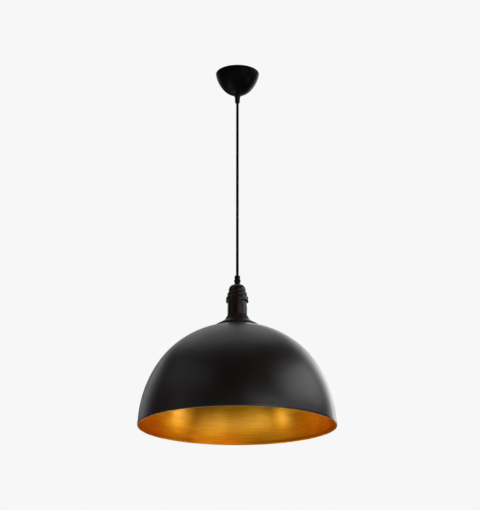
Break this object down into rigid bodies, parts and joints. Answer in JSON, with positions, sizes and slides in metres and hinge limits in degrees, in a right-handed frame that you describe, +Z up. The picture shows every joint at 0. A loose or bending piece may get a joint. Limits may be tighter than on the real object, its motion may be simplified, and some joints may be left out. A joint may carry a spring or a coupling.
{
  "type": "pendant ceiling light",
  "caption": "Dome pendant light: twist-on ceiling cup, straight cord, ribbed lampholder with a fluted barrel, stepped neck flange and a wide spun black shade lined in gold.",
  "frame": {"origin": "centre of the strap's face that lies against the ceiling", "axes": "+Z up into the ceiling, the light hangs along -Z; X along the strap and its two screws"},
  "size_m": [0.4, 0.4, 0.774],
  "materials": {
    "black_painted_steel": "satin black powder coat",
    "gold_leaf_lacquer": "warm gold lacquer over spun metal, fine turned streaks",
    "black_satin_plastic": "moulded black, satin to gloss",
    "black_gloss_plastic": "moulded black, semi-gloss",
    "black_nylon": "moulded black nylon, satin",
    "cord_sheath": "smooth round black sheath",
    "brown_insulation": "brown wire insulation",
    "blue_insulation": "blue wire insulation",
    "white_nylon": "natural nylon",
    "white_ceramic": "glazed white ceramic",
    "brass": "plain pressed brass",
    "zinc_steel": "zinc-plated steel",
    "spring_steel": "bright spring wire",
    "fibre_washer": "red vulcanised fibre"
  },
  "bodies": {
    "strap": {"ceiling_strap": "zinc_steel"},
    "cup": {"ceiling_cup": "black_satin_plastic", "cup_grip": "black_nylon", "cup_grip_nut": "black_nylon", "cup_grip_screw": "zinc_steel", "cup_cord_tail": "cord_sheath", "cup_live_wire": "brown_insulation", "cup_neutral_wire": "blue_insulation", "cup_terminal_block": "white_nylon", "cup_terminal_sleeves": "brass", "cup_terminal_screws": "zinc_steel", "cup_block_screw": "zinc_steel"},
    "cord": {"suspension_cord": "cord_sheath"},
    "lamp": {"holder_grip": "black_nylon", "holder_grip_nut": "black_nylon", "holder_grip_screw": "zinc_steel", "holder_cord_tail": "cord_sheath", "holder_live_wire": "brown_insulation", "holder_neutral_wire": "blue_insulation", "holder_cap": "black_gloss_plastic", "holder_barrel": "black_gloss_plastic", "retaining_ring": "zinc_steel", "neck_flange": "black_painted_steel", "shade": "black_painted_steel", "gold_lining": "gold_leaf_lacquer", "shade_washer": "fibre_washer", "shade_ring": "black_nylon", "contact_block": "white_ceramic", "screw_shell": "brass", "live_terminal": "brass", "neutral_terminal": "brass", "holder_terminal_screws": "zinc_steel", "contact_spring": "spring_steel"},
    "contact_pin": {"centre_contact": "brass"}
  },
  "joints": [
    {"name": "cup_twist", "type": "hinge", "parent": "strap", "child": "cup", "pos_m": [0, 0, 0], "axis": [0, 0, 1], "range_deg": [0, 30]},
    {"name": "cord_swing", "type": "hinge", "parent": "cup", "child": "cord", "pos_m": [0, 0, -0.0659], "axis": [0, 1, 0], "range_deg": [-18, 18]},
    {"name": "lamp_tilt", "type": "hinge", "parent": "cord", "child": "lamp", "pos_m": [0, 0, -0.461], "axis": [1, 0, 0], "range_deg": [-14, 14]},
    {"name": "contact_press", "type": "slide", "parent": "lamp", "child": "contact_pin", "axis": [0, 0, 1], "range_m": [0, 0.0012], "stiffness_N_per_m": 800, "springref_m": -0.001, "deforming": ["contact_spring"]}
  ]
}
